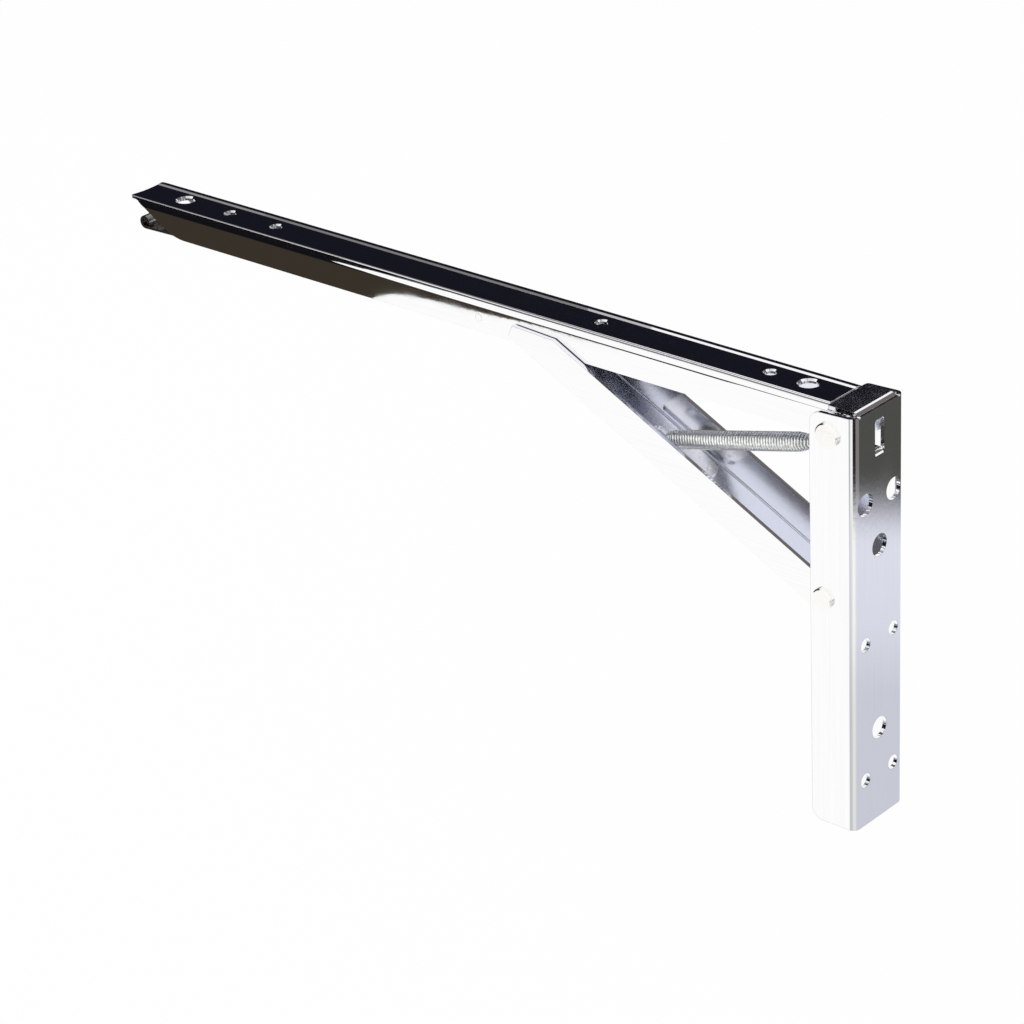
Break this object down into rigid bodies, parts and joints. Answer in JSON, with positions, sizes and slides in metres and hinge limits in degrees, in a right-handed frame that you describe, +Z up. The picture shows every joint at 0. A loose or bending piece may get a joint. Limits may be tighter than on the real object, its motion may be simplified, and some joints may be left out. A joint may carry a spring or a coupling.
{
  "type": "folding shelf bracket",
  "caption": "Folding shelf bracket of polished folded-steel channels: wall leg, fold-down arm, locking diagonal brace, tension spring and a long release lever.",
  "frame": {"origin": "middle of the leg's wall face, on the wall plane", "axes": "+X points out from the wall along the open arm, +Y runs across the bracket, +Z is up"},
  "size_m": [0.3511, 0.0314, 0.158],
  "materials": {
    "polished_steel": "bright plated, mirror polished",
    "rivet_steel": "bright zinc, fine turned",
    "spring_zinc": "zinc plated spring wire",
    "plate_steel": "satin plated",
    "lever_steel": "bright plated"
  },
  "bodies": {
    "leg": {"wall_leg": "polished_steel", "arm_pivot_rivet": "rivet_steel", "brace_rivet_near": "rivet_steel", "brace_rivet_far": "rivet_steel", "arm_spacer_near": "rivet_steel", "arm_spacer_far": "rivet_steel"},
    "arm": {"shelf_arm": "polished_steel", "lever_pivot_pin": "rivet_steel", "lever_return_spring": "spring_zinc"},
    "strut": {"brace": "polished_steel", "spring_anchor_plate": "plate_steel"},
    "spring_head": {"spring_coil": "spring_zinc", "spring_hook_wall": "spring_zinc"},
    "spring_tail": {"spring_hook_brace": "spring_zinc"},
    "lever": {"release_lever": "lever_steel"}
  },
  "joints": [
    {"name": "arm_fold", "type": "hinge", "parent": "leg", "child": "arm", "pos_m": [0.0108, 0, 0.0701], "axis": [0, 1, 0], "range_deg": [0, 90]},
    {"name": "brace_fold", "type": "hinge", "parent": "leg", "child": "strut", "pos_m": [0.013, 0, 0.0086], "axis": [0, 1, 0], "range_deg": [0, 116.6]},
    {"name": "spring_swing", "type": "hinge", "parent": "leg", "child": "spring_head", "pos_m": [0.0132, 0, 0.06135], "axis": [0, 1, 0], "range_deg": [0, 77]},
    {"name": "spring_stretch", "type": "slide", "parent": "spring_head", "child": "spring_tail", "axis": [0.9686, 0, -0.2487], "range_m": [0, 0.0561], "deforming": ["spring_coil"]},
    {"name": "lever_press", "type": "hinge", "parent": "arm", "child": "lever", "pos_m": [0.168, 0, 0.0725], "axis": [0, -1, 0], "range_deg": [0, 2.4], "stiffness_Nm_per_rad": 0.2, "springref_deg": -17.19}
  ],
  "couplings": [
    {"joint": "brace_fold", "follows": "arm_fold", "ratio": 1.2955},
    {"joint": "spring_swing", "follows": "arm_fold", "ratio": 0.855},
    {"joint": "spring_stretch", "follows": "arm_fold", "m_per_rad": 0.0357}
  ]
}
